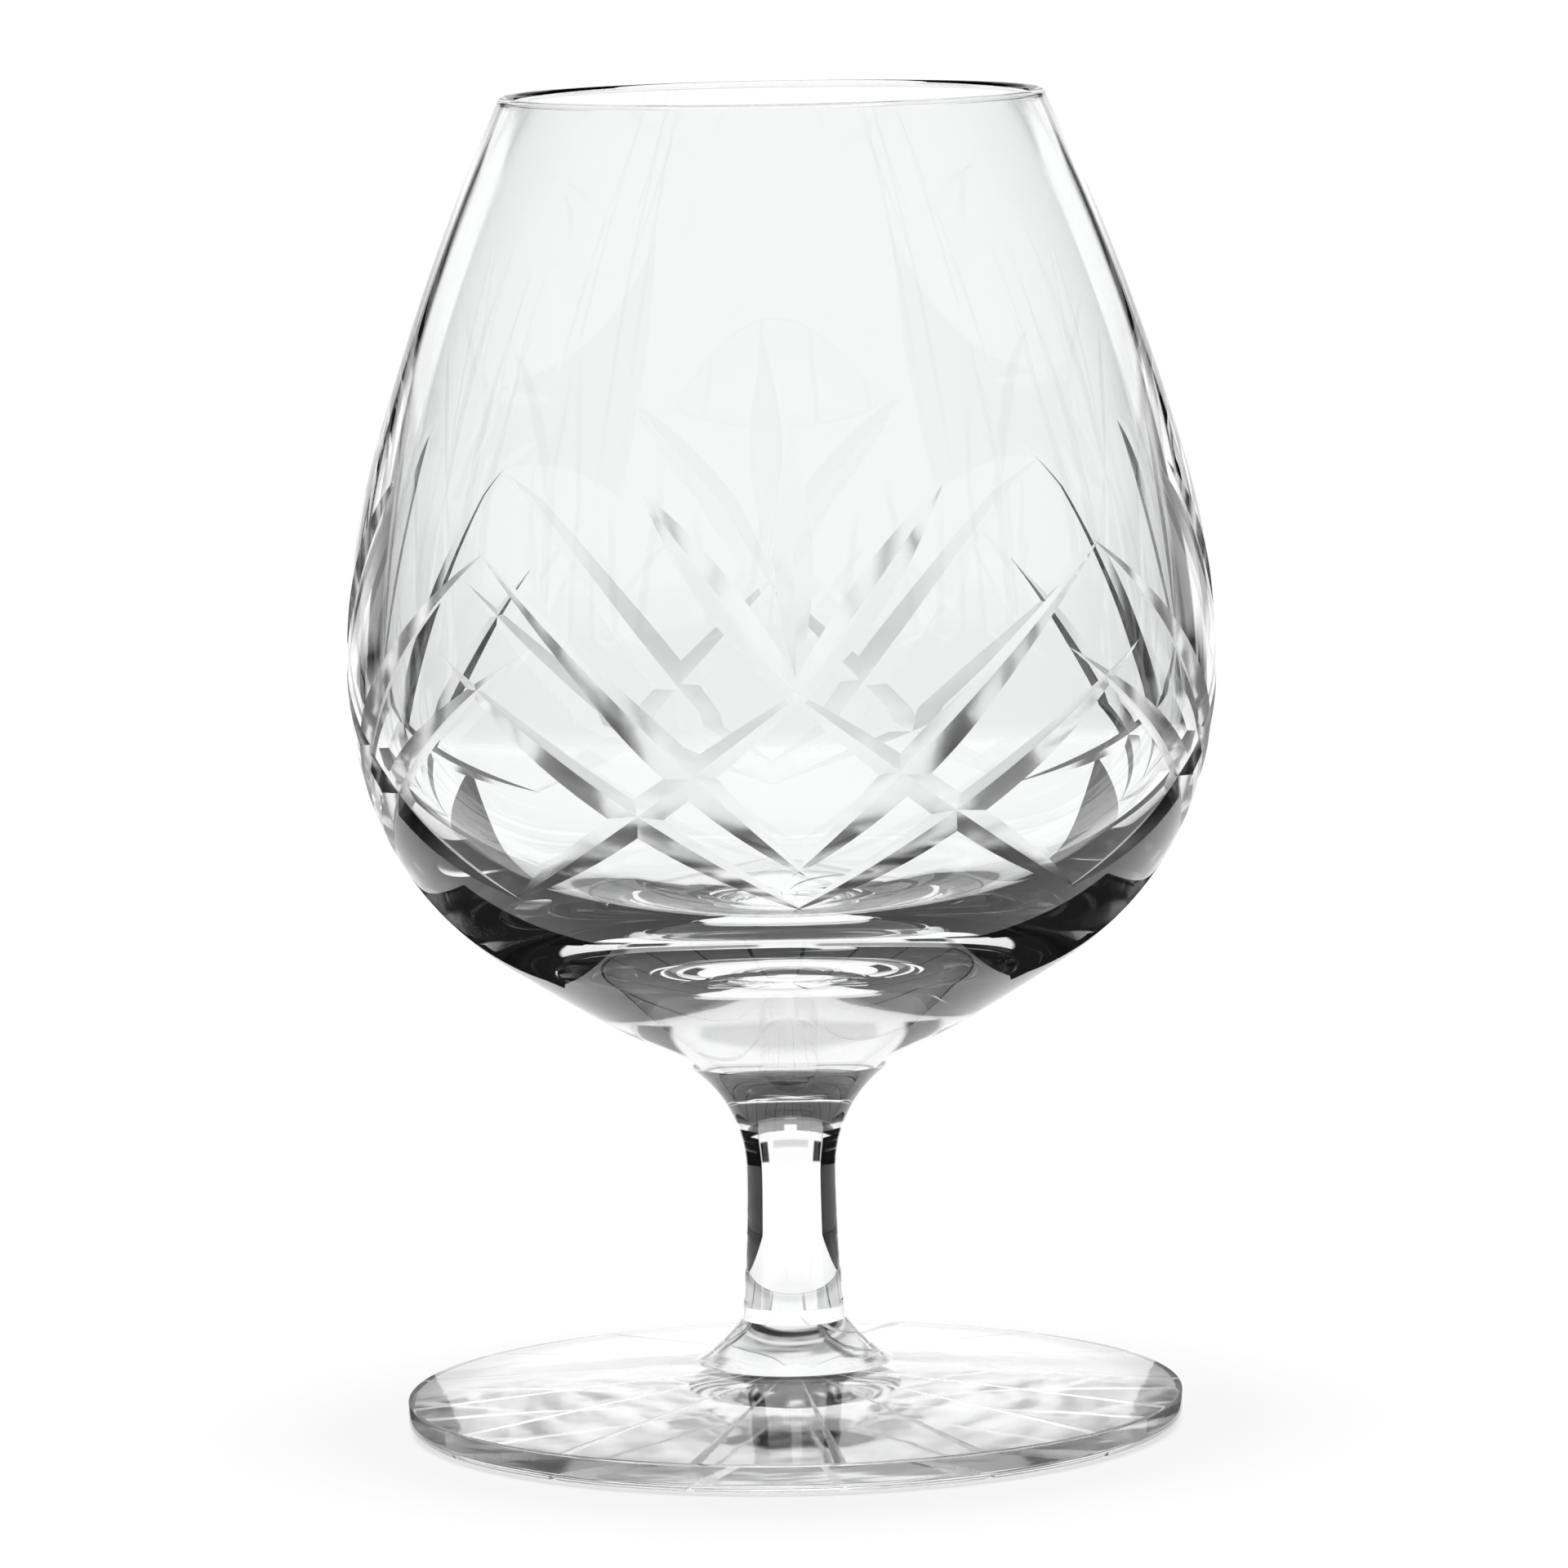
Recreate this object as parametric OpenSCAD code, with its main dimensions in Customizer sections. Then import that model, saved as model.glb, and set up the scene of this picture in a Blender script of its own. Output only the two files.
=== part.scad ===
// Brandy snifter in clear cut crystal: a round bowl with crossed mitre cuts and fans,
// a short waisted stem, and a flat foot with a star cut in its underside.

/* [Bowl] */
// Height of the bowl from its seam with the stem to the top of the lip
bowl_h = 90.8; // [86:0.2:96]
// Outside diameter of the rim, just under the rounded lip
rim_d = 51; // [47:0.2:55]
// Thickness of the wall at the rim
rim_wall = 1.1; // [0.8:0.1:1.4]
// Outside diameter of the belly, the widest place of the bowl
belly_d = 81.2; // [78:0.2:85]
// Height of the belly above the seam with the stem
belly_up = 37.4; // [36:0.2:39]
// Thickness of the wall at the belly
belly_wall = 3; // [2.4:0.1:3.4]
// Thickness of the wall half-way from the belly to the rim
middle_wall = 1.6; // [1.4:0.1:2]
// Thickness of the solid glass under the hollow
base_h = 13.5; // [11:0.5:15]

/* [Bowl outline] */
// Radius just above the belly, as a share of the single arc's that would reach the rim
above_belly_share = 0.7; // [0.64:0.01:0.78]
// Radius from there up to the rim, as a share of the same arc's
upper_wall_share = 2.23; // [1.8:0.01:3]
// Radius just below the belly
below_belly_r = 37; // [34:0.5:40]
// Turn of the outline at that radius, in degrees
below_belly_turn = 20; // [15:1:25]
// Radius of the tighter curve under it
lower_bowl_r = 29.6; // [27:0.2:32]
// Radius from there down to the seam with the stem
base_r = 300; // [200:10:400]
// Height of the hollow's widest place above the seam
hollow_up = 35.8; // [34.6:0.2:37.4]

/* [Stem] */
// Length of the stem between its two seams
stem_h = 24.5; // [20:0.5:34]
// Diameter of the seam between stem and bowl
stem_top_d = 19.9; // [17:0.1:22]
// Diameter of the waist, the thinnest place
waist_d = 8.4; // [7:0.1:9.4]
// Diameter of the seam between stem and foot
stem_foot_d = 9.8; // [9.6:0.1:11]
// Radius of the flare from the waist up to the bowl
flare_r = 12.3; // [9:0.1:15]

/* [Foot] */
// Height of the foot from the table to its seam with the stem
foot_h = 9.7; // [8.6:0.1:11]
// Diameter of the foot
foot_d = 73; // [66:0.5:80]
// Height of the foot's outer edge
foot_edge_h = 2.7; // [2.2:0.1:3.4]
// Rounding of that edge at the table
foot_round = 0.9; // [0.5:0.1:1.2]
// Diameter where the collar under the stem meets the top of the foot
collar_d = 18.6; // [16:0.2:22]
// Height of that place above the table
collar_up = 5.7; // [5:0.1:6.4]
// Radius of the collar's hollow curve
collar_r = 12; // [8:0.5:20]

/* [Cuts] */
// Angle between the two flanks of a mitre cut
mitre_angle = 136; // [124:2:144]
// Depth of the crossed cuts on the bowl
cross_depth = 0.65; // [0.5:0.05:0.8]
// Depth of the fan cuts above the crossings
fan_depth = 0.72; // [0.6:0.04:0.84]
// Number of rays in the star under the foot
star_rays = 16; // [12:2:20]
// Depth of the star's rays at the edge of the foot
star_depth = 0.6; // [0.4:0.05:0.8]
// Angle between the two flanks of a ray
star_angle = 90; // [80:2:100]
// Inner radius of the star, where the rays run out
star_hub_r = 3.5; // [3:0.5:6]
// Turn of the star against the bowl's pattern
star_turn = 5; // [0:0.5:22]

/* [Hidden] */
$fn = 128;

// The bowl's pattern goes round this many times
repeats = 4;
// One repeat's cuts as start, deepest place and end, each in degrees round the bowl
// and millimetres above the belly. All but the first have a mirror twin.
fan_middle = [[0, 2.9], [0, 14.4], [0, 26]];
fan_side = [[-3, -1], [9, 9.6], [21, 19.6]];
cross_pair = [[-46, -18.4], [-20, -9], [5, 4]];
inner_pair = [[1, -15.2], [-23, 0.2], [-46, 13.9]];
outer_pair = [[1, -18.6], [-25, -8.3], [-52, 4.4]];
// Height of a cutter, as a share of its cut's depth, and its length as a share of the cut's
cutter_rise = 1.4;
cutter_run = 1.2;

belly_r = belly_d / 2;
rim_r = rim_d / 2;
lip_r = rim_wall / 2;
lip_up = bowl_h - lip_r;
top_r = stem_top_d / 2;
waist_r = waist_d / 2;
seam_r = stem_foot_d / 2;
foot_r = foot_d / 2;
collar_edge = [collar_d / 2, collar_up];

// Values rounded to the hundredth, which keep their digits wherever they are used
function snap(v) = is_list(v) ? [for (x = v) snap(x)] : round(100 * v) / 100;

// Point on a circle, at an angle from the outward direction
function on(c, r, a) = c + r * [cos(a), sin(a)];

// Direction of a vector, as an angle
function turn_of(v) = atan2(v.y, v.x);

// Centre of a circle that runs through p and holds a smaller one, which it touches inside.
// With side 1 it leaves the smaller circle upwards, and with side -1 downwards.
function holding_centre(c, r, big_r, p, side) =
    let (
        d = p - c,
        gap = big_r - r,
        along = (gap ^ 2 - big_r ^ 2 + d * d) / (2 * norm(d)),
        across = side * sqrt(gap ^ 2 - along ^ 2)
    )
    c + (along * d + across * [-d.y, d.x]) / norm(d);

// Radius of the circle through p and q that holds a smaller one, which it touches inside
function holding_r(c, r, p, q) =
    let (
        d = (p - q) / 2,
        m = (p + q) / 2 - c,
        a = m * m - d * d - r ^ 2,
        b = cross(d, m) / norm(d),
        s = b ^ 2 - r ^ 2,
        across = (r * sqrt(a ^ 2 + 4 * (d * d) * s) - a * b) / (2 * s)
    )
    norm([across, norm(d)]);

// Centre of a circle through two points, on the left of the way from p to q
function left_centre(p, q, r) =
    let (d = q - p)
    (p + q) / 2 + sqrt(r ^ 2 - d * d / 4) * [-d.y, d.x] / norm(d);

// Centre of the circle through three points in space
function ring_centre(p, q, s) =
    let (a = p - s, b = q - s, n = cross(a, b))
    s + cross((a * a) * b - (b * b) * a, n) / (2 * (n * n));

// Radius of the single arc that would run from the belly to the rim
inset = belly_r - rim_r;
single_r = ((lip_up - belly_up) ^ 2 + inset ^ 2) / (2 * inset);

// Circles of the bowl's outline from the rim down, each as centre and radius
above_belly_r = snap(above_belly_share * single_r);
upper_wall_r = snap(upper_wall_share * single_r);
above_belly = [[belly_r - above_belly_r, belly_up], above_belly_r];
upper_wall_c = holding_centre(above_belly[0], above_belly_r, upper_wall_r, [rim_r, lip_up], 1);
upper_wall = [upper_wall_c, upper_wall_r];
below_belly = [[belly_r - below_belly_r, belly_up], below_belly_r];
lower_bowl = [on(below_belly[0], below_belly_r - lower_bowl_r, -below_belly_turn), lower_bowl_r];
bowl_base_c = holding_centre(lower_bowl[0], lower_bowl_r, base_r, [top_r, 0], -1);
bowl_base = [bowl_base_c, base_r];

// Heights where one circle of the outline hands over to the next
shoulder_up = snap(on(above_belly[0], above_belly_r, turn_of(above_belly[0] - upper_wall_c)).y);
under_belly_up = snap(on(below_belly[0], below_belly_r, -below_belly_turn).y);
base_up = snap(on(lower_bowl[0], lower_bowl_r, turn_of(lower_bowl[0] - bowl_base_c)).y);

// Circle of the outline that bounds the bowl's wall at a height
function wall_circle(z) =
    z > shoulder_up ? upper_wall :
    z > belly_up ? above_belly :
    z > under_belly_up ? below_belly : lower_bowl;

// Point of the outline at a height, sunk square into the glass
function wall_section(z, sunk) =
    let (w = wall_circle(z))
    on(w[0], w[1] - sunk, asin((z - w[0].y) / w[1]));

// The hollow has a flat floor, a wide corner, and one long curve up to the rim
corner_r = hollow_up - base_h;
floor_r = belly_r - belly_wall - corner_r;
corner = [[floor_r, hollow_up], corner_r];
mouth = [rim_r - rim_wall, lip_up];
middle_up = (belly_up + lip_up) / 2;
hollow_side_r = snap(holding_r(corner[0], corner_r, mouth, wall_section(middle_up, middle_wall)));
hollow_side_c = holding_centre(corner[0], corner_r, hollow_side_r, mouth, 1);
hollow_side = [hollow_side_c, hollow_side_r];
corner_up = snap(on(corner[0], corner_r, turn_of(corner[0] - hollow_side_c)).y);

// The stem narrows to a waist where the flare starts
flare_c = waist_r + flare_r;
waist_up = snap(stem_h - sqrt(flare_r ^ 2 - (flare_c - top_r) ^ 2));
shank_r = snap(((seam_r - waist_r) ^ 2 + waist_up ^ 2) / (2 * (seam_r - waist_r)));

// Disc, moved in a coarse and a fine step so that neighbouring curves meet exactly
module disc(circle_data) {
    translate(snap(circle_data[0]))
        translate(circle_data[0] - snap(circle_data[0]))
            circle(circle_data[1]);
}

// Half section between two heights, bounded by a circle that swells outwards
module swell(circle_data, z0, z1) {
    intersection() {
        disc(circle_data);
        translate([0, z0]) square([belly_d, z1 - z0]);
    }
}

// Half section between two heights, bounded by a circle that bends inwards
module waisted(circle_data, z0, z1) {
    difference() {
        translate([0, z0]) square([snap(circle_data[0].x), z1 - z0]);
        disc(circle_data);
    }
}

// V-shaped cutter along the circle through three points. Its edge lies on the circle, and at the
// middle point it opens evenly about the direction given.
module mitre(start, middle, end, depth, opens) {
    c = ring_centre(start, middle, end);
    r = norm(middle - c);
    normal = cross(start - middle, end - middle);
    x = (middle - c) / r;
    z = normal / norm(normal);
    y = cross(z, x);
    rise = cutter_rise * depth;
    half_w = rise * tan(mitre_angle / 2);
    lean = atan2(opens * z, opens * x);
    span = cutter_run * max(acos((start - c) * x / r), acos((end - c) * x / r));
    multmatrix([
        [x.x, y.x, z.x, c.x],
        [x.y, y.y, z.y, c.y],
        [x.z, y.z, z.z, c.z]
    ])
        rotate(-span)
            rotate_extrude(angle = 2 * span)
                translate([r, 0])
                    rotate(lean)
                        polygon([[0, 0], [rise, half_w], [rise, -half_w]]);
}

// Point on the bowl's wall, from degrees round it and height above the belly, sunk into the glass
function wall_point(place, sunk) =
    let (p = wall_section(belly_up + place.y, sunk))
    [p.x * sin(place.x), -p.x * cos(place.x), p.y];

// One kind of cut at every repeat of the pattern. With side -1 it is the mirror twin.
module bowl_cuts(cut, depth, side) {
    places = [for (p = cut) [side * p.x, p.y]];
    start = wall_point(places[0], 0);
    middle = wall_point(places[1], depth);
    end = wall_point(places[2], 0);
    for (i = [0 : repeats - 1])
        rotate(360 / repeats * i)
            mitre(start, middle, end, depth, wall_point(places[1], 0) - middle);
}

// Rays of the star, straight V cuts that deepen from the hub to the edge
module star_cuts() {
    tilt = atan(star_depth / (foot_r - star_hub_r));
    half_w = cutter_rise * star_depth * tan(star_angle / 2);
    for (i = [0 : star_rays - 1])
        rotate(star_turn + 360 / star_rays * i)
            translate([0, -star_hub_r, 0])
                rotate([90 - tilt, 0, 0])
                    linear_extrude(foot_r)
                        polygon([
                            [0, 0],
                            [half_w, -cutter_rise * star_depth],
                            [-half_w, -cutter_rise * star_depth]
                        ]);
}

module bowl_body() {
    rotate_extrude() {
        difference() {
            union() {
                swell(bowl_base, 0, base_up);
                swell(lower_bowl, base_up, under_belly_up);
                swell(below_belly, under_belly_up, belly_up);
                swell(above_belly, belly_up, shoulder_up);
                swell(upper_wall, shoulder_up, lip_up);
            }
            translate([0, base_h]) square([floor_r, lip_up - base_h]);
            swell(corner, base_h, corner_up);
            swell(hollow_side, corner_up, lip_up);
        }
        translate([rim_r - lip_r, lip_up]) circle(lip_r);
    }
}

module bowl() {
    color("gainsboro")
        translate([0, 0, foot_h + stem_h])
            difference() {
                bowl_body();
                bowl_cuts(fan_middle, fan_depth, 1);
                bowl_cuts(fan_side, fan_depth, 1);
                bowl_cuts(fan_side, fan_depth, -1);
                bowl_cuts(cross_pair, cross_depth, 1);
                bowl_cuts(cross_pair, cross_depth, -1);
                bowl_cuts(inner_pair, cross_depth, 1);
                bowl_cuts(inner_pair, cross_depth, -1);
                bowl_cuts(outer_pair, cross_depth, 1);
                bowl_cuts(outer_pair, cross_depth, -1);
            }
}

module stem() {
    color("gainsboro")
        translate([0, 0, foot_h])
            rotate_extrude() {
                waisted([[waist_r + shank_r, waist_up], shank_r], 0, waist_up);
                waisted([[flare_c, waist_up], flare_r], waist_up, stem_h);
            }
}

module foot_body() {
    rotate_extrude() {
        square([foot_r - foot_round, foot_round]);
        swell([[foot_r - foot_round, foot_round], foot_round], 0, foot_round);
        polygon([
            [0, foot_round],
            [foot_r, foot_round],
            [foot_r, foot_edge_h],
            collar_edge,
            [0, collar_up]
        ]);
        waisted([left_centre([seam_r, foot_h], collar_edge, collar_r), collar_r], collar_up, foot_h);
    }
}

module foot() {
    color("gainsboro")
        difference() {
            foot_body();
            star_cuts();
        }
}

bowl();
stem();
foot();
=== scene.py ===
import copy
from math import acos, asin, atan, atan2, ceil, cos, pi, radians, sin, sqrt, tan

import bpy
import numpy as np
from mathutils import Matrix, Vector


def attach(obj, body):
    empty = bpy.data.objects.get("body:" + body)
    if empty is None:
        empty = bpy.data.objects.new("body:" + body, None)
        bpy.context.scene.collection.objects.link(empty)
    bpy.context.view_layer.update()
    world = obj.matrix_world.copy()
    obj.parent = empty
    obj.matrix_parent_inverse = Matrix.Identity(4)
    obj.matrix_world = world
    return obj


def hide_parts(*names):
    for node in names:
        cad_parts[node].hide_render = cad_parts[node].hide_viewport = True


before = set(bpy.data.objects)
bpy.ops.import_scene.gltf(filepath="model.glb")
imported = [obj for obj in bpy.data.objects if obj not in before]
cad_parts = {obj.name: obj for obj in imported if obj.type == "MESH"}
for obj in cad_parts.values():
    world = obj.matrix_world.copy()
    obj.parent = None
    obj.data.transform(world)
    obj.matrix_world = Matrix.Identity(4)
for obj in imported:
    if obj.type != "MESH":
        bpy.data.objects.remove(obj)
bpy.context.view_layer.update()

MM = 0.001

# Bowl sizes in millimetres, above the seam with the stem
BOWL_H = 90.8
RIM_R = 25.5
RIM_WALL = 1.1
BELLY_R = 40.6
BELLY_UP = 37.4
BELLY_WALL = 3.0
MIDDLE_WALL = 1.6
BASE_H = 13.5
ABOVE_BELLY_SHARE = 0.7
UPPER_WALL_SHARE = 2.23
BELOW_BELLY_R = 37.0
BELOW_BELLY_TURN = 20.0
LOWER_BOWL_R = 29.6
BASE_R = 300.0
HOLLOW_UP = 35.8

# Stem sizes
STEM_H = 24.5
STEM_TOP_R = 9.95
WAIST_R = 4.2
STEM_FOOT_R = 4.9
FLARE_R = 12.3

# Foot sizes
FOOT_H = 9.7
FOOT_R = 36.5
FOOT_EDGE_H = 2.7
FOOT_ROUND = 0.9
FOOT_ARRIS = 0.25
COLLAR_EDGE_R = 9.3
COLLAR_UP = 5.7
COLLAR_R = 12.0

# Cuts. Each is given by its start, its deepest place and its end: degrees round the bowl and
# millimetres above the belly.
MITRE_ANGLE = 136.0
CROSS_DEPTH = 0.65
FAN_DEPTH = 0.72
REPEATS = 4
FAN_MIDDLE = ((0, 2.9), (0, 14.4), (0, 26))
FAN_SIDE = ((-3, -1), (9, 9.6), (21, 19.6))
CROSS_PAIR = ((-46, -18.4), (-20, -9), (5, 4))
INNER_PAIR = ((1, -15.2), (-23, 0.2), (-46, 13.9))
OUTER_PAIR = ((1, -18.6), (-25, -8.3), (-52, 4.4))
MIRRORED = (
    (FAN_SIDE, FAN_DEPTH),
    (CROSS_PAIR, CROSS_DEPTH),
    (INNER_PAIR, CROSS_DEPTH),
    (OUTER_PAIR, CROSS_DEPTH),
)
STAR_RAYS = 16
STAR_DEPTH = 0.6
STAR_ANGLE = 90.0
STAR_HUB_R = 3.5
STAR_TURN = 5.0
STAR_GROUPS = 4
CUTTER_RISE = 1.4
CUTTER_RUN = 1.2

# Fineness of the meshes
SEGMENTS = 336
RING_STEP = 0.8
SHANK_STEP = 0.5
FINE_STEP = 0.25
EDGE_STEP = 0.1
ARRIS_STEP = 0.06
HOLLOW_FLOOR_STEPS = 6
UNDERSIDE_STEPS = 24
FOOT_EDGE_STEPS = 4
FOOT_TOP_STEPS = 30
CUT_STEPS = 48
TINY = 1e-9

# Material slots of every piece
GLASS, CUT, SEAM = 0, 1, 2


# Circles of the outline

def vec(*v):
    return np.array(v, float)


def on(c, r, degrees):
    return c + r * vec(cos(radians(degrees)), sin(radians(degrees)))


def holding_centre(c, r, big_r, p, side):
    """Centre of a circle through p that holds a smaller one and touches it inside."""
    d = p - c
    gap = big_r - r
    length = np.linalg.norm(d)
    along = (gap ** 2 - big_r ** 2 + d @ d) / (2 * length)
    across = side * sqrt(gap ** 2 - along ** 2)
    return c + (along * d + across * vec(-d[1], d[0])) / length


def holding_r(c, r, p, q):
    """Radius of the circle through p and q that holds a smaller one and touches it inside."""
    d, m = (p - q) / 2, (p + q) / 2 - c
    a = m @ m - d @ d - r ** 2
    b = (d[0] * m[1] - d[1] * m[0]) / np.linalg.norm(d)
    s = b ** 2 - r ** 2
    across = (r * sqrt(a ** 2 + 4 * (d @ d) * s) - a * b) / (2 * s)
    return sqrt(across ** 2 + d @ d)


def left_centre(p, q, r):
    d = q - p
    return (p + q) / 2 + sqrt(r ** 2 - d @ d / 4) * vec(-d[1], d[0]) / np.linalg.norm(d)


def direction(v):
    return atan2(v[1], v[0])


class Run:
    """One smooth stretch of a half section, with its outward normal."""

    def __init__(self, points, normal, slot=GLASS):
        self.points = points
        self.normal = normal
        self.slot = slot


def arc(c, r, start, end, side=1, step=RING_STEP, slot=GLASS):
    """Stretch of a circle from point start to point end; side -1 where glass is outside it."""
    a = direction(start - c)
    turn = direction(end - c) - a
    turn = (turn + pi) % (2 * pi) - pi
    n = max(3, ceil(abs(turn) * r / step))
    angles = a + turn * np.linspace(0, 1, n + 1)
    points = c + r * np.stack([np.cos(angles), np.sin(angles)], 1)
    return Run(points, lambda p: side * (p - c) / np.linalg.norm(p - c, axis=1)[:, None], slot)


def line(start, end, slot=GLASS, steps=1):
    d = (end - start) / np.linalg.norm(end - start)
    n = vec(d[1], -d[0])
    points = start + np.linspace(0, 1, steps + 1)[:, None] * (end - start)
    return Run(points, lambda p: np.broadcast_to(n, p.shape), slot)


def lathe(runs):
    """Closed mesh data turned from runs that go from axis to axis: points, faces, run of each face."""
    section, owner = [], []
    for k, run in enumerate(runs):
        start = 0 if k == 0 else 1
        section += list(run.points[start:])
        owner += [k] * (len(run.points) - 1)
    turn = np.linspace(0, 2 * pi, SEGMENTS, endpoint=False)
    ring = np.stack([np.sin(turn), -np.cos(turn)], 1)
    points, rows = [], []
    for r, z in section:
        if r < TINY:
            rows.append([len(points)] * SEGMENTS)
            points.append((0, 0, z))
        else:
            rows.append(list(range(len(points), len(points) + SEGMENTS)))
            points += [(r * x, r * y, z) for x, y in ring]
    faces, ids = [], []
    for i, k in enumerate(owner):
        low, high = rows[i], rows[i + 1]
        for j in range(SEGMENTS):
            m = (j + 1) % SEGMENTS
            corners = [low[j], low[m], high[m], high[j]]
            faces.append(list(dict.fromkeys(corners)))
            ids.append(k)
    return points, faces, ids


# Cutters

class Mitre:
    """V-shaped cutter along the circle through three points."""

    def __init__(self, start, middle, end, depth, opens):
        a, b = start - end, middle - end
        n = np.cross(a, b)
        self.c = end + np.cross((a @ a) * b - (b @ b) * a, n) / (2 * (n @ n))
        self.r = np.linalg.norm(middle - self.c)
        self.x = (middle - self.c) / self.r
        normal = np.cross(start - middle, end - middle)
        self.z = normal / np.linalg.norm(normal)
        self.y = np.cross(self.z, self.x)
        lean = atan2(opens @ self.z, opens @ self.x)
        self.up, self.side = vec(cos(lean), sin(lean)), vec(-sin(lean), cos(lean))
        self.rise = CUTTER_RISE * depth
        reach = [acos(min(1, (p - self.c) @ self.x / self.r)) for p in (start, end)]
        self.span = CUTTER_RUN * max(reach)
        self.half = radians(MITRE_ANGLE / 2)

    def turned(self, degrees):
        t = np.array(Matrix.Rotation(radians(degrees), 3, "Z"))
        other = copy.copy(self)
        other.c, other.x, other.y, other.z = (t @ v for v in (self.c, self.x, self.y, self.z))
        return other

    def mesh(self):
        half_w = self.rise * tan(self.half)
        up, side = self.rise * self.up, half_w * self.side
        section = [vec(0, 0), up + side, up - side]
        points, faces, flanks = [], [], []
        for f in np.linspace(-self.span, self.span, CUT_STEPS + 1):
            out = self.x * cos(f) + self.y * sin(f)
            points += [self.c + (self.r + u) * out + h * self.z for u, h in section]
        for i in range(CUT_STEPS):
            a, b = 3 * i, 3 * i + 3
            for k in range(3):
                m = (k + 1) % 3
                faces.append([a + k, a + m, b + m, b + k])
                flanks.append((1, 0, -1)[k])
        last = 3 * CUT_STEPS
        faces += [[2, 1, 0], [last, last + 1, last + 2]]
        flanks += [0, 0]
        return points, faces, flanks

    def normal(self, p, flank):
        """Normal of the glass on a flank, which points into the cut."""
        rel = p - self.c
        out = rel - (rel @ self.z)[:, None] * self.z
        out /= np.linalg.norm(out, axis=1)[:, None]
        u, h = sin(self.half) * self.up - flank * cos(self.half) * self.side
        return u * out + h * self.z


class Ray:
    """Straight V-shaped cutter under the foot, deepening from the hub to the edge."""

    def __init__(self, degrees):
        tilt = atan(STAR_DEPTH / (FOOT_R - STAR_HUB_R))
        turn = Matrix.Rotation(radians(degrees), 3, "Z") @ Matrix.Rotation(pi / 2 - tilt, 3, "X")
        self.frame = np.array(turn)
        self.start = np.array(Matrix.Rotation(radians(degrees), 3, "Z") @ Vector((0, -STAR_HUB_R, 0)))
        self.half = radians(STAR_ANGLE / 2)

    def mesh(self):
        rise = CUTTER_RISE * STAR_DEPTH
        half_w = rise * tan(self.half)
        points = []
        for along in (0, FOOT_R):
            for x, y in ((0, 0), (half_w, -rise), (-half_w, -rise)):
                points.append(self.start + self.frame @ vec(x, y, along))
        faces = [[0, 1, 4, 3], [1, 2, 5, 4], [2, 0, 3, 5], [2, 1, 0], [3, 4, 5]]
        return points, faces, [1, 0, -1, 0, 0]

    def normal(self, p, flank):
        n = self.frame @ vec(-flank * cos(self.half), -sin(self.half), 0)
        return np.broadcast_to(n, p.shape)


def volume(points, faces):
    p = np.array(points)
    total = 0.0
    for f in faces:
        for i in range(1, len(f) - 1):
            total += np.dot(p[f[0]], np.cross(p[f[i]], p[f[i + 1]]))
    return total


def mesh_of(name, points, faces, ids):
    mesh = bpy.data.meshes.new(name)
    mesh.from_pydata([tuple(p) for p in points], [], faces)
    mesh.attributes.new("surface", "INT", "FACE").data.foreach_set("value", ids)
    return mesh


def carved(name, runs, groups):
    """Turned body less groups of cutters, with exact normals on every surface."""
    scene = bpy.context.scene.collection
    body = bpy.data.objects.new("work", mesh_of("work", *lathe(runs)))
    scene.objects.link(body)
    surfaces = {k: (run.normal, None) for k, run in enumerate(runs)}
    tools = []
    for group in groups:
        points, faces, ids = [], [], []
        for cutter in group:
            p, f, flanks = cutter.mesh()
            if volume(p, f) < 0:
                f = [face[::-1] for face in f]
            for flank, face in zip(flanks, f):
                key = len(surfaces)
                if flank:
                    known = [k for k, s in surfaces.items() if s == (cutter, flank)]
                    key = known[0] if known else key
                    surfaces[key] = (cutter, flank)
                else:
                    key = -1
                faces.append([len(points) + i for i in face])
                ids.append(key)
            points += p
        tool = bpy.data.objects.new("tool", mesh_of("tool", points, faces, ids))
        scene.objects.link(tool)
        tools.append(tool)
        cut = body.modifiers.new("cut", "BOOLEAN")
        cut.operation = "DIFFERENCE"
        cut.solver = "MANIFOLD"
        cut.object = tool
    bpy.context.view_layer.update()
    graph = bpy.context.evaluated_depsgraph_get()
    mesh = bpy.data.meshes.new_from_object(body.evaluated_get(graph))
    for o in tools + [body]:
        old = o.data
        bpy.data.objects.remove(o)
        bpy.data.meshes.remove(old)
    mesh.name = name
    mesh.materials.clear()

    # Exact normals at every face corner
    count = len(mesh.polygons)
    ids = np.empty(count, int)
    mesh.attributes["surface"].data.foreach_get("value", ids)
    totals = np.empty(count, int)
    mesh.polygons.foreach_get("loop_total", totals)
    corner_id = np.repeat(ids, totals)
    corner_vertex = np.empty(len(mesh.loops), int)
    mesh.loops.foreach_get("vertex_index", corner_vertex)
    place = np.empty(len(mesh.vertices) * 3)
    mesh.vertices.foreach_get("co", place)
    place = place.reshape(-1, 3)
    at = place[corner_vertex]
    normals = np.zeros_like(at)
    for key in np.unique(ids):
        pick = corner_id == key
        p = at[pick]
        source, flank = surfaces[key]
        if flank is None:
            r = np.hypot(p[:, 0], p[:, 1])
            n = source(np.stack([r, p[:, 2]], 1))
            out = p[:, :2] / np.maximum(r, TINY)[:, None]
            normals[pick] = np.concatenate([out * n[:, :1], n[:, 1:]], 1)
        else:
            normals[pick] = source.normal(p, flank)
    slots = np.array([runs[k].slot if k < len(runs) else CUT for k in ids])
    mesh.polygons.foreach_set("material_index", slots)
    mesh.polygons.foreach_set("use_smooth", np.ones(count, bool))
    mesh.attributes.remove(mesh.attributes["surface"])
    normals /= np.linalg.norm(normals, axis=1)[:, None]
    mesh.normals_split_custom_set(normals)
    return mesh


# Half section of the bowl

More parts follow.
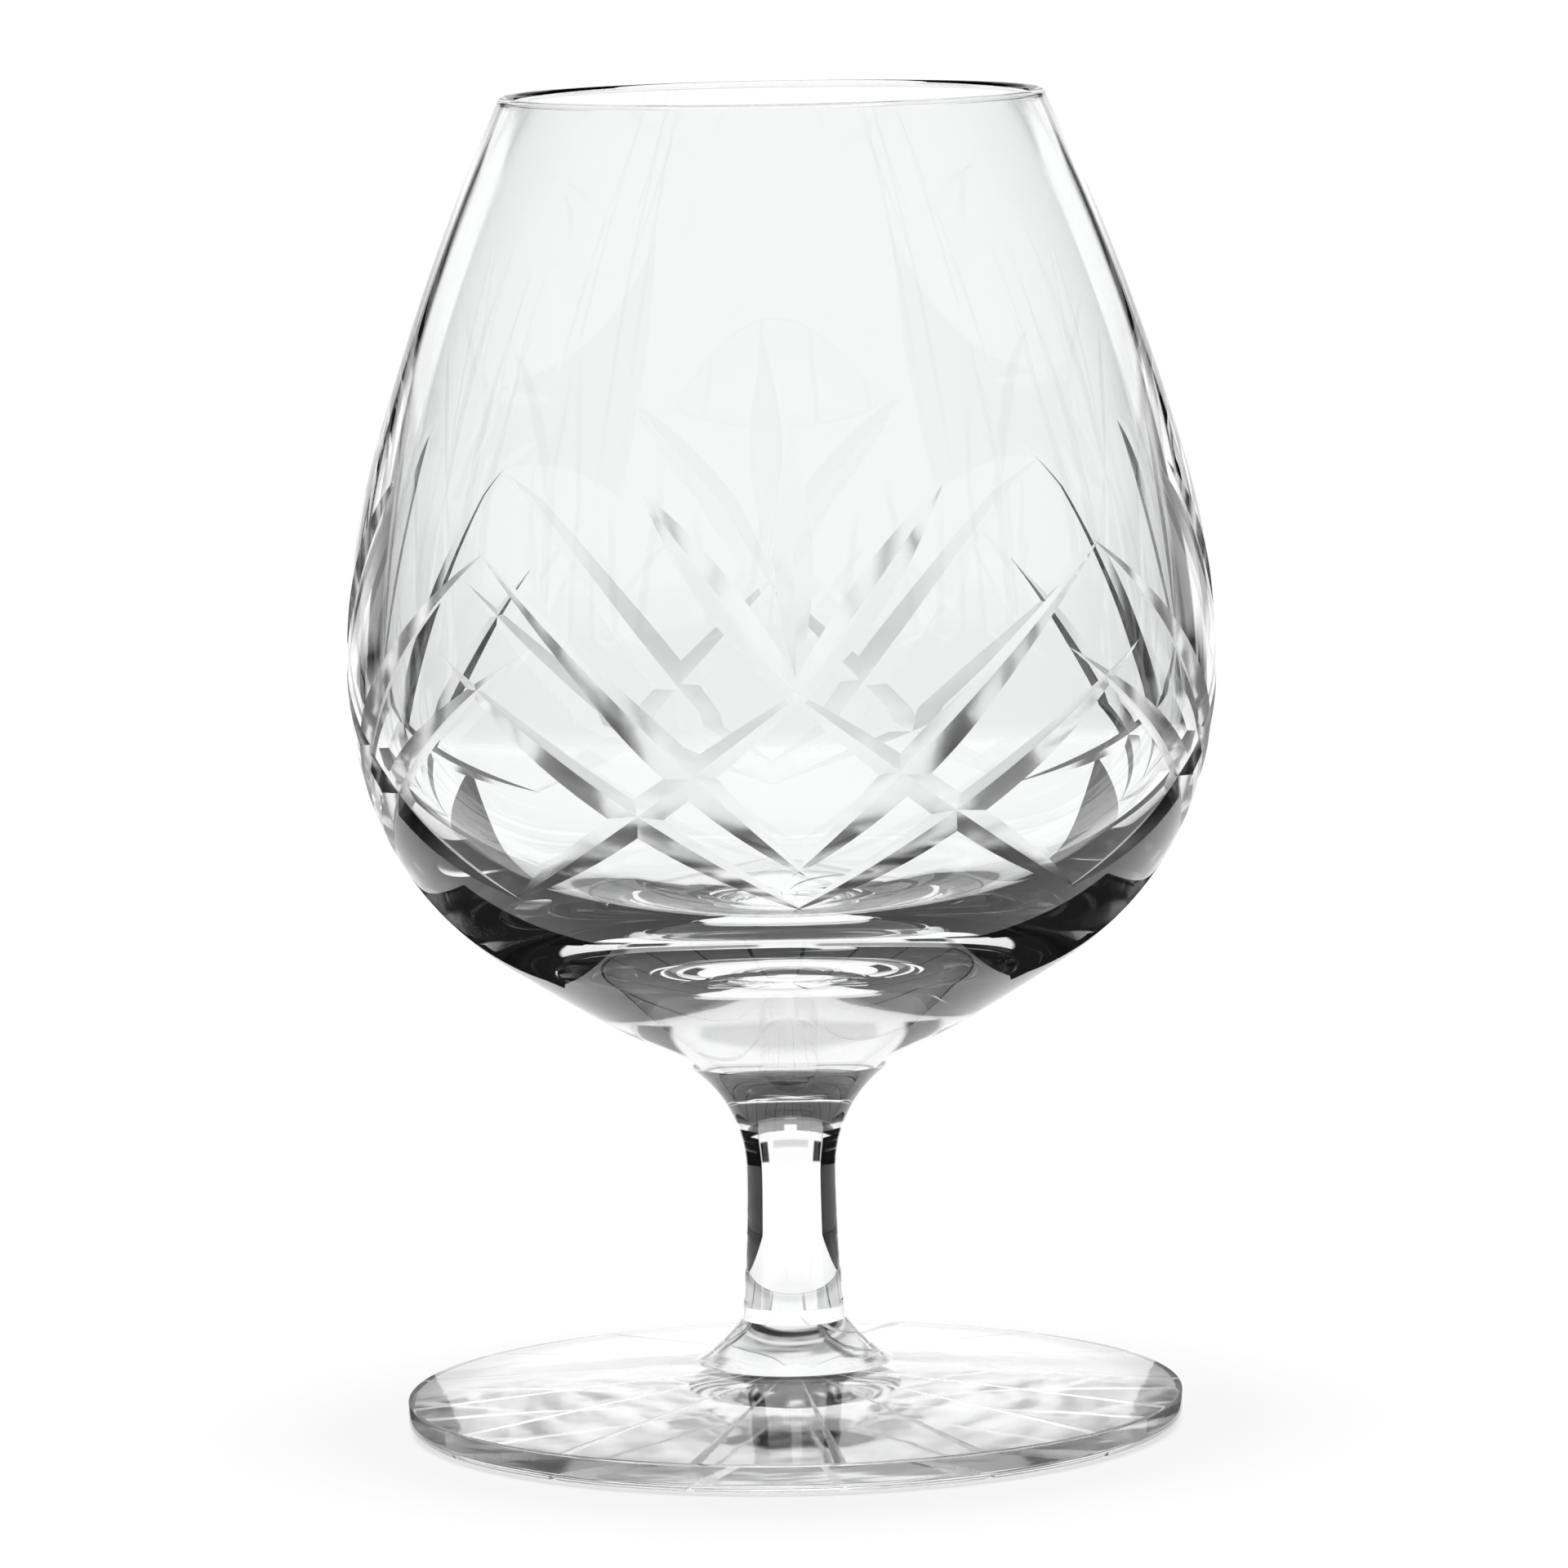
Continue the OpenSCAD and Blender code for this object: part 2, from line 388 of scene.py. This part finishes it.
belly = vec(BELLY_R, BELLY_UP)
lip_r = RIM_WALL / 2
lip_up = BOWL_H - lip_r
rim = vec(RIM_R, lip_up)
mouth = vec(RIM_R - RIM_WALL, lip_up)
inset = BELLY_R - RIM_R
single_r = ((lip_up - BELLY_UP) ** 2 + inset ** 2) / (2 * inset)
above_r = round(ABOVE_BELLY_SHARE * single_r, 2)
upper_r = round(UPPER_WALL_SHARE * single_r, 2)
above_c = belly - vec(above_r, 0)
upper_c = holding_centre(above_c, above_r, upper_r, rim, 1)
below_c = belly - vec(BELOW_BELLY_R, 0)
lower_c = on(below_c, BELOW_BELLY_R - LOWER_BOWL_R, -BELOW_BELLY_TURN)
seam_edge = vec(STEM_TOP_R, 0)
base_c = holding_centre(lower_c, LOWER_BOWL_R, BASE_R, seam_edge, -1)
shoulder = above_c + above_r * (above_c - upper_c) / np.linalg.norm(above_c - upper_c)
under_belly = on(below_c, BELOW_BELLY_R, -BELOW_BELLY_TURN)
base_top = lower_c + LOWER_BOWL_R * (lower_c - base_c) / np.linalg.norm(lower_c - base_c)


def wall_section(z, sunk):
    """Point of the outline at a height, sunk square into the glass."""
    if z > shoulder[1]:
        c, r = upper_c, upper_r
    elif z > BELLY_UP:
        c, r = above_c, above_r
    elif z > under_belly[1]:
        c, r = below_c, BELOW_BELLY_R
    else:
        c, r = lower_c, LOWER_BOWL_R
    return on(c, r - sunk, asin((z - c[1]) / r) * 180 / pi)


corner_r = HOLLOW_UP - BASE_H
floor_edge = vec(BELLY_R - BELLY_WALL - corner_r, BASE_H)
corner_c = floor_edge + vec(0, corner_r)
middle_wall = wall_section((BELLY_UP + lip_up) / 2, MIDDLE_WALL)
side_r = round(holding_r(corner_c, corner_r, mouth, middle_wall), 2)
side_c = holding_centre(corner_c, corner_r, side_r, mouth, 1)
corner_top = corner_c + corner_r * (corner_c - side_c) / np.linalg.norm(corner_c - side_c)

lip_c = rim - vec(lip_r, 0)
lip_top = vec(RIM_R - lip_r, BOWL_H)
bowl_runs = [
    line(vec(0, 0), seam_edge, SEAM),
    arc(base_c, BASE_R, seam_edge, base_top),
    arc(lower_c, LOWER_BOWL_R, base_top, under_belly),
    arc(below_c, BELOW_BELLY_R, under_belly, belly),
    arc(above_c, above_r, belly, shoulder),
    arc(upper_c, upper_r, shoulder, rim),
    arc(lip_c, lip_r, rim, lip_top, step=EDGE_STEP),
    arc(lip_c, lip_r, lip_top, mouth, step=EDGE_STEP),
    arc(side_c, side_r, mouth, corner_top, side=-1),
    arc(corner_c, corner_r, corner_top, floor_edge, side=-1),
    line(floor_edge, vec(0, BASE_H), steps=HOLLOW_FLOOR_STEPS),
]


def wall_point(place, sunk):
    p = wall_section(BELLY_UP + place[1], sunk)
    a = radians(place[0])
    return vec(p[0] * sin(a), -p[0] * cos(a), p[1])


def bowl_cuts(cut, depth, side):
    a, b, c = [(side * x, z) for x, z in cut]
    middle = wall_point(b, depth)
    one = Mitre(wall_point(a, 0), middle, wall_point(c, 0), depth, wall_point(b, 0) - middle)
    return [one.turned(360 / REPEATS * i) for i in range(REPEATS)]


bowl_groups = [bowl_cuts(FAN_MIDDLE, FAN_DEPTH, 1)]
for pattern, depth in MIRRORED:
    for side in (1, -1):
        bowl_groups.append(bowl_cuts(pattern, depth, side))
bowl_mesh = carved("bowl_glass", bowl_runs, bowl_groups)

# Stem
flare_c = WAIST_R + FLARE_R
waist_up = STEM_H - sqrt(FLARE_R ** 2 - (flare_c - STEM_TOP_R) ** 2)
shank_r = ((STEM_FOOT_R - WAIST_R) ** 2 + waist_up ** 2) / (2 * (STEM_FOOT_R - WAIST_R))
waist = vec(WAIST_R, waist_up)
stem_low, stem_top = vec(STEM_FOOT_R, 0), vec(STEM_TOP_R, STEM_H)
stem_runs = [
    line(vec(0, 0), stem_low, SEAM),
    arc(waist + vec(shank_r, 0), shank_r, stem_low, waist, side=-1, step=SHANK_STEP),
    arc(waist + vec(FLARE_R, 0), FLARE_R, waist, stem_top, side=-1, step=FINE_STEP),
    line(stem_top, vec(0, STEM_H), SEAM),
]
stem_mesh = carved("stem_glass", stem_runs, [])

# Foot
collar_edge = vec(COLLAR_EDGE_R, COLLAR_UP)
foot_seam = vec(STEM_FOOT_R, FOOT_H)
collar_c = left_centre(foot_seam, collar_edge, COLLAR_R)
slope = vec(FOOT_R, FOOT_EDGE_H) - collar_edge
slope_n = vec(-slope[1], slope[0]) / np.linalg.norm(slope)
arris_c = vec(FOOT_R - FOOT_ARRIS, FOOT_EDGE_H - FOOT_ARRIS)
arris_top = arris_c + FOOT_ARRIS * slope_n
round_c = vec(FOOT_R - FOOT_ROUND, FOOT_ROUND)
underside_end = vec(FOOT_R - FOOT_ROUND, 0)
edge_low, edge_high = vec(FOOT_R, FOOT_ROUND), vec(FOOT_R, FOOT_EDGE_H - FOOT_ARRIS)
foot_runs = [
    line(vec(0, 0), underside_end, steps=UNDERSIDE_STEPS),
    arc(round_c, FOOT_ROUND, underside_end, edge_low, step=EDGE_STEP),
    line(edge_low, edge_high, steps=FOOT_EDGE_STEPS),
    arc(arris_c, FOOT_ARRIS, edge_high, arris_top, step=ARRIS_STEP),
    line(arris_top, collar_edge, steps=FOOT_TOP_STEPS),
    arc(collar_c, COLLAR_R, collar_edge, foot_seam, side=-1, step=FINE_STEP),
    line(foot_seam, vec(0, FOOT_H), SEAM),
]
rays = [Ray(STAR_TURN + 360 / STAR_RAYS * i) for i in range(STAR_RAYS)]
foot_mesh = carved("foot_glass", foot_runs, [rays[i::STAR_GROUPS] for i in range(STAR_GROUPS)])


# Materials

CRYSTAL_COLOUR = (0.985, 0.99, 0.99, 1)
CRYSTAL_IOR = 1.54
WAVE_DETAIL = 2.0
WAVE_DISTANCE = 0.001


def new_material(name):
    m = bpy.data.materials.new(name)
    m.use_nodes = True
    m.node_tree.nodes.clear()
    return m, m.node_tree.nodes, m.node_tree.links


def crystal(name, wave, wave_size, polish):
    """Clear crystal. wave is the strength of its waves, wave_size in metres, polish its roughness range."""
    m, nodes, links = new_material(name)
    out = nodes.new("ShaderNodeOutputMaterial")
    shader = nodes.new("ShaderNodeBsdfPrincipled")
    shader.inputs["Base Color"].default_value = CRYSTAL_COLOUR
    shader.inputs["IOR"].default_value = CRYSTAL_IOR
    shader.inputs["Transmission Weight"].default_value = 1.0
    where = nodes.new("ShaderNodeTexCoord")
    noise = nodes.new("ShaderNodeTexNoise")
    noise.inputs["Scale"].default_value = 1 / wave_size
    noise.inputs["Detail"].default_value = WAVE_DETAIL
    links.new(where.outputs["Object"], noise.inputs["Vector"])
    bump = nodes.new("ShaderNodeBump")
    bump.inputs["Strength"].default_value = wave
    bump.inputs["Distance"].default_value = WAVE_DISTANCE
    links.new(noise.outputs["Fac"], bump.inputs["Height"])
    links.new(bump.outputs["Normal"], shader.inputs["Normal"])
    spread = nodes.new("ShaderNodeMapRange")
    spread.inputs["To Min"].default_value = polish[0]
    spread.inputs["To Max"].default_value = polish[1]
    links.new(noise.outputs["Fac"], spread.inputs["Value"])
    links.new(spread.outputs["Result"], shader.inputs["Roughness"])
    links.new(shader.outputs["BSDF"], out.inputs["Surface"])
    return m


def fused(name):
    """Inner face of a hot seam, where glass runs through without a surface."""
    m, nodes, links = new_material(name)
    out = nodes.new("ShaderNodeOutputMaterial")
    clear = nodes.new("ShaderNodeBsdfTransparent")
    links.new(clear.outputs["BSDF"], out.inputs["Surface"])
    return m


blown = crystal("blown_crystal", wave=0.02, wave_size=0.03, polish=(0.0, 0.004))
ground = crystal("cut_crystal", wave=0.03, wave_size=0.004, polish=(0.12, 0.22))
pressed = crystal("pressed_crystal", wave=0.1, wave_size=0.01, polish=(0.03, 0.09))
star_cut = crystal("star_crystal", wave=0.1, wave_size=0.004, polish=(0.2, 0.35))
seam = fused("fused_seam")

for node, mesh, up, smooth, cut in (
        ("bowl", bowl_mesh, FOOT_H + STEM_H, blown, ground),
        ("stem", stem_mesh, FOOT_H, blown, ground),
        ("foot", foot_mesh, 0, pressed, star_cut)):
    mesh.transform(Matrix.Scale(MM, 4) @ Matrix.Translation((0, 0, up)))
    for m in (smooth, cut, seam):
        mesh.materials.append(m)
    piece = bpy.data.objects.new(node + "_glass", mesh)
    bpy.context.scene.collection.objects.link(piece)
    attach(piece, "root")
    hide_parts(node)


# Camera, from the fit to the photographed outline

TURN = radians(1.8)
TILT = radians(6.869)
ROLL = radians(1.073)
DISTANCE = 0.84437
HEIGHT = 0.16202
LENS = 208.5
SENSOR = 36
CLIP_END = 50

ahead = Vector((sin(TURN), cos(TURN), 0))
right = Vector((cos(TURN), -sin(TURN), 0))
above = Vector((0, 0, 1))
look = ahead * cos(TILT) - above * sin(TILT)
top = above * cos(TILT) + ahead * sin(TILT)
cam_x = right * cos(ROLL) - top * sin(ROLL)
cam_y = top * cos(ROLL) + right * sin(ROLL)
camera_data = bpy.data.cameras.new("camera")
camera_data.lens = LENS
camera_data.sensor_width = SENSOR
camera_data.clip_end = CLIP_END
camera = bpy.data.objects.new("camera", camera_data)
axes = Matrix((cam_x, cam_y, -look)).transposed().to_4x4()
camera.matrix_world = Matrix.Translation(-ahead * DISTANCE + above * HEIGHT) @ axes
bpy.context.scene.collection.objects.link(camera)
bpy.context.scene.camera = camera


# Stage

def staged(name, points, faces, material):
    mesh = bpy.data.meshes.new(name)
    mesh.from_pydata(points, [], faces)
    mesh.materials.append(material)
    o = bpy.data.objects.new(name, mesh)
    bpy.context.scene.collection.objects.link(o)
    return o


def computed(nodes, links, operation, first, second=0.0):
    """Output of a Math node, whose inputs are numbers or other nodes' outputs."""
    n = nodes.new("ShaderNodeMath")
    n.operation = operation
    for socket, value in zip(n.inputs, (first, second)):
        if isinstance(value, (int, float)):
            socket.default_value = value
        else:
            links.new(value, socket)
    return n.outputs[0]


def ramp(nodes, links, value, start, end):
    """From 1 at start to 0 at end, with a soft passage."""
    n = nodes.new("ShaderNodeMapRange")
    n.interpolation_type = "SMOOTHSTEP"
    n.inputs["From Min"].default_value = start
    n.inputs["From Max"].default_value = end
    n.inputs["To Min"].default_value = 1.0
    n.inputs["To Max"].default_value = 0.0
    links.new(value, n.inputs["Value"])
    return n.outputs["Result"]


# Pale round floor. Its rim fades out, so that it has no horizon.
FLOOR_FULL, FLOOR_END = 0.28, 0.4
# Painted light: strength of the glow painted on the floor under the foot, and the share of the foot's
# radius where it is at full strength
FLOOR_PAINTED_LIGHT = 0.4
FLOOR_PAINTED_LIGHT_FULL = 0.8
FLOOR_COLOUR = (0.88, 0.88, 0.88, 1)
FLOOR_UP = -0.0003
FLOOR_SIDES = 96
paper_and_painted_light, nodes, links = new_material("paper_and_painted_light")
paper_out = nodes.new("ShaderNodeOutputMaterial")
pale = nodes.new("ShaderNodeBsdfDiffuse")
pale.inputs["Color"].default_value = FLOOR_COLOUR
gone = nodes.new("ShaderNodeBsdfTransparent")
where = nodes.new("ShaderNodeTexCoord")
length = nodes.new("ShaderNodeVectorMath")
length.operation = "LENGTH"
links.new(where.outputs["Object"], length.inputs[0])
# Painted light: the floor glows under the foot, standing in for the light that the glass passes on to the
# floor there
painted_light = nodes.new("ShaderNodeEmission")
foot_edge = FOOT_R * MM
painted_light_under_foot = ramp(nodes, links, length.outputs["Value"], FLOOR_PAINTED_LIGHT_FULL * foot_edge, foot_edge)
links.new(computed(nodes, links, "MULTIPLY", painted_light_under_foot, FLOOR_PAINTED_LIGHT), painted_light.inputs["Strength"])
lit = nodes.new("ShaderNodeAddShader")
links.new(pale.outputs["BSDF"], lit.inputs[0])
links.new(painted_light.outputs["Emission"], lit.inputs[1])
blend = nodes.new("ShaderNodeMixShader")
links.new(ramp(nodes, links, length.outputs["Value"], FLOOR_FULL, FLOOR_END), blend.inputs["Fac"])
links.new(gone.outputs["BSDF"], blend.inputs[1])
links.new(lit.outputs["Shader"], blend.inputs[2])
links.new(blend.outputs["Shader"], paper_out.inputs["Surface"])
turns = [2 * pi * i / FLOOR_SIDES for i in range(FLOOR_SIDES)]
floor_points = [(FLOOR_END * cos(t), FLOOR_END * sin(t), FLOOR_UP) for t in turns]
staged("floor", floor_points, [list(range(FLOOR_SIDES))], paper_and_painted_light)


# The backdrop turns about the glass with the camera, so that every view has the same light
turntable = bpy.data.objects.new("turntable", None)
bpy.context.scene.collection.objects.link(turntable)
follow = turntable.constraints.new("LOCKED_TRACK")
follow.target = camera
follow.track_axis = "TRACK_NEGATIVE_Y"
follow.lock_axis = "LOCK_Z"


# Panels on a circle round the glass, bright ones and darker cards before them. Their places are
# degrees to the side and degrees up, as seen from the glass, and their edges are soft.
PANEL_SOFT = 2.0
FAR, NEAR, NEAREST = 3.0, 2.9, 2.8
WHITE, PALE, DIM, BLACK = 1.04, 0.75, 0.35, 0.01


def panel(name, away, strength, sides, heights):
    shine, nodes, links = new_material(name + "_light")
    out = nodes.new("ShaderNodeOutputMaterial")
    light = nodes.new("ShaderNodeEmission")
    light.inputs["Strength"].default_value = strength
    gone = nodes.new("ShaderNodeBsdfTransparent")
    where = nodes.new("ShaderNodeTexCoord")
    split = nodes.new("ShaderNodeSeparateXYZ")
    links.new(where.outputs["Object"], split.inputs[0])
    side = computed(nodes, links, "ARCTAN2", split.outputs["X"], split.outputs["Y"])
    level = computed(nodes, links, "DIVIDE", split.outputs["Z"], away)
    up = computed(nodes, links, "ARCTANGENT", level)
    shown = 1.0
    for angle, (start, end) in ((side, sides), (up, heights)):
        for edge, inner in ((start, start + PANEL_SOFT), (end, end - PANEL_SOFT)):
            fade = ramp(nodes, links, angle, radians(inner), radians(edge))
            shown = computed(nodes, links, "MULTIPLY", fade, shown)
    blend = nodes.new("ShaderNodeMixShader")
    links.new(shown, blend.inputs["Fac"])
    links.new(gone.outputs["BSDF"], blend.inputs[1])
    links.new(light.outputs["Emission"], blend.inputs[2])
    links.new(blend.outputs["Shader"], out.inputs["Surface"])
    count = ceil(sides[1] - sides[0])
    turns = [radians(sides[0] + (sides[1] - sides[0]) * i / count) for i in range(count + 1)]
    levels = [away * tan(radians(a)) for a in heights]
    corners = [(away * sin(t), away * cos(t), z) for t in turns for z in levels]
    faces = [[2 * i, 2 * i + 2, 2 * i + 3, 2 * i + 1] for i in range(count)]
    staged(name, corners, faces, shine).parent = turntable


panel("screen", FAR, WHITE, (-32, 32), (-24, 20))
panel("softbox_back", FAR, DIM, (-32, 32), (18, 35))
panel("softbox_strip", NEAR, WHITE, (-6, 6), (16, 27))
panel("softbox_left", FAR, WHITE, (-50, -30), (-3, 20))
panel("softbox_right", FAR, WHITE, (30, 50), (-3, 20))
panel("card_left", NEAR, BLACK, (-31, -20), (-4, 12))
panel("card_right", NEAR, BLACK, (20, 31), (-4, 12))
panel("card_back", NEAREST, PALE, (-16, 16), (5, 12))

# Low black flags beside the foot, which draw the dark sides of the stem. Only the glass sees them, so
# they cast no shadow.
FLAG_OUT, FLAG_FROM, FLAG_TO = 0.0385, -0.012, 0.068
FLAG_LOW, FLAG_HIGH = -0.02, 0.046
FELT_COLOUR = (0.01, 0.01, 0.01, 1)
felt, nodes, links = new_material("felt")
felt_out = nodes.new("ShaderNodeOutputMaterial")
black = nodes.new("ShaderNodeBsdfDiffuse")
black.inputs["Color"].default_value = FELT_COLOUR
links.new(black.outputs["BSDF"], felt_out.inputs["Surface"])
for name, out in (("flag_left", -FLAG_OUT), ("flag_right", FLAG_OUT)):
    corners = [(out, y, z) for z in (FLAG_LOW, FLAG_HIGH) for y in (FLAG_FROM, FLAG_TO)]
    flag = staged(name, corners, [[0, 1, 3, 2]], felt)
    flag.visible_camera = flag.visible_diffuse = flag.visible_shadow = False
    flag.parent = turntable


LAMP_SIZE, LAMP_UP = 1.6, 1.5


def softbox(name, watts, shadows):
    light = bpy.data.lights.new(name, "AREA")
    light.shape = "SQUARE"
    light.size = LAMP_SIZE
    light.energy = watts
    light.use_shadow = shadows
    lamp = bpy.data.objects.new(name, light)
    lamp.location = (0, 0, LAMP_UP)
    lamp.visible_glossy = lamp.visible_transmission = False
    bpy.context.scene.collection.objects.link(lamp)


# Most of the light passes through the glass onto the floor, and the rest leaves a soft shadow
softbox("softbox_fill", watts=29, shadows=False)
softbox("softbox_key", watts=15, shadows=True)

ROOM_COLOUR = (0.012, 0.012, 0.012, 1)
world = bpy.data.worlds.new("studio")
world.use_nodes = True
world.node_tree.nodes["Background"].inputs["Color"].default_value = ROOM_COLOUR
bpy.context.scene.world = world
bpy.context.scene.view_settings.view_transform = "Standard"

# Light is reflected many times inside the thick glass
BOUNCES, GLOSSY_BOUNCES = 32, 16
paths = bpy.context.scene.cycles
paths.max_bounces = paths.transmission_bounces = paths.transparent_max_bounces = BOUNCES
paths.glossy_bounces = GLOSSY_BOUNCES
